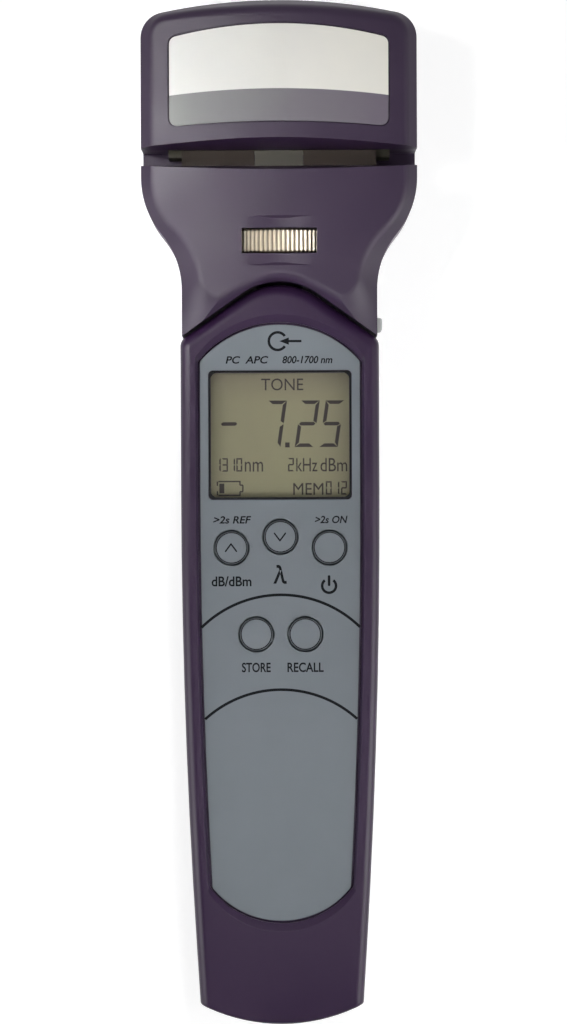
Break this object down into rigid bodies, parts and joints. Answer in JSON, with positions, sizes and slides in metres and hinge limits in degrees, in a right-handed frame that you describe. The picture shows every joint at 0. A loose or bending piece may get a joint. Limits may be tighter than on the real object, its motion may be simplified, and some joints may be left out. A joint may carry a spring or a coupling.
{
  "type": "optical fiber identifier",
  "caption": "Hand-held tester with a display and round keys, and a pull-off head whose knurled thumb wheel closes a clamp across a fibre slot.",
  "frame": {"origin": "bottom centre of the object's box, lying on its back", "axes": "+Z out of the display face, +Y from the foot of the handset to the head, +X to the right of the display"},
  "size_m": [0.053, 0.1966, 0.0328],
  "materials": {
    "shell": "fine moulded grain",
    "panel": "satin film",
    "key": "satin",
    "window": "clear",
    "lcd": "reflective display",
    "lcd_frame": "moulded",
    "zebra": "silicone",
    "mat": "silicone",
    "board": "solder mask",
    "bush": "turned",
    "detector": "plated",
    "cell": "sleeved",
    "contact": "nickel plated",
    "screw": "zinc plated",
    "label": "printed",
    "nickel": "nickel plated, knurled",
    "steel": "ground",
    "jaw": "moulded",
    "upper_jaw": "moulded",
    "light_guide": "clear acrylic",
    "tab": "moulded"
  },
  "bodies": {
    "handset": {"handset_front_shell": "shell", "handset_rear_shell": "shell", "keypad_panel": "panel", "display_window": "window", "lcd_module": "lcd", "lcd_frame": "lcd_frame", "zebra_strips": "zebra", "keypad_mat": "mat", "main_pcb": "board", "port_bush": "bush", "detector_can": "detector", "battery_left": "cell", "battery_right": "cell", "bridge_contact": "contact", "terminal_contacts": "contact", "case_screws": "screw"},
    "head": {"head_rear_shell": "shell", "neck_front_cover": "shell", "cap_front_cover": "shell", "cap_label": "label", "upper_jaw": "upper_jaw", "clamp_frame": "steel", "thrust_washers": "steel", "head_screws": "screw"},
    "wheel": {"thumb_wheel": "nickel"},
    "clamp": {"clamp_slider": "jaw", "lead_screw": "steel", "light_guide": "light_guide", "guide_pins": "steel"},
    "lock": {"lock_slide": "tab"},
    "door": {"battery_door": "shell"},
    "key_up": {"key_up": "key"},
    "key_down": {"key_down": "key"},
    "key_power": {"key_power": "key"},
    "key_store": {"key_store": "key"},
    "key_recall": {"key_recall": "key"}
  },
  "joints": [
    {"name": "head_pull", "type": "slide", "parent": "handset", "child": "head", "axis": [0, 1, 0], "range_m": [0, 0.03]},
    {"name": "wheel_turn", "type": "hinge", "parent": "head", "child": "wheel", "pos_m": [0, 0.05195, 0.0198], "axis": [0, 1, 0], "range_deg": [0, 360]},
    {"name": "clamp_slide", "type": "slide", "parent": "head", "child": "clamp", "axis": [0, -1, 0], "range_m": [0, 0.0035]},
    {"name": "lock_slide", "type": "slide", "parent": "head", "child": "lock", "axis": [0, 1, 0], "range_m": [0, 0.0015]},
    {"name": "door_slide", "type": "slide", "parent": "handset", "child": "door", "axis": [0, -1, 0], "range_m": [0, 0.075]},
    {"name": "key_up_press", "type": "slide", "parent": "handset", "child": "key_up", "axis": [0, 0, -1], "range_m": [0, 0.0006], "stiffness_N_per_m": 800},
    {"name": "key_down_press", "type": "slide", "parent": "handset", "child": "key_down", "axis": [0, 0, -1], "range_m": [0, 0.0006], "stiffness_N_per_m": 800},
    {"name": "key_power_press", "type": "slide", "parent": "handset", "child": "key_power", "axis": [0, 0, -1], "range_m": [0, 0.0006], "stiffness_N_per_m": 800},
    {"name": "key_store_press", "type": "slide", "parent": "handset", "child": "key_store", "axis": [0, 0, -1], "range_m": [0, 0.0006], "stiffness_N_per_m": 800},
    {"name": "key_recall_press", "type": "slide", "parent": "handset", "child": "key_recall", "axis": [0, 0, -1], "range_m": [0, 0.0006], "stiffness_N_per_m": 800}
  ],
  "couplings": [
    {"joint": "wheel_turn", "follows": "clamp_slide", "rad_per_m": 1795.2}
  ]
}
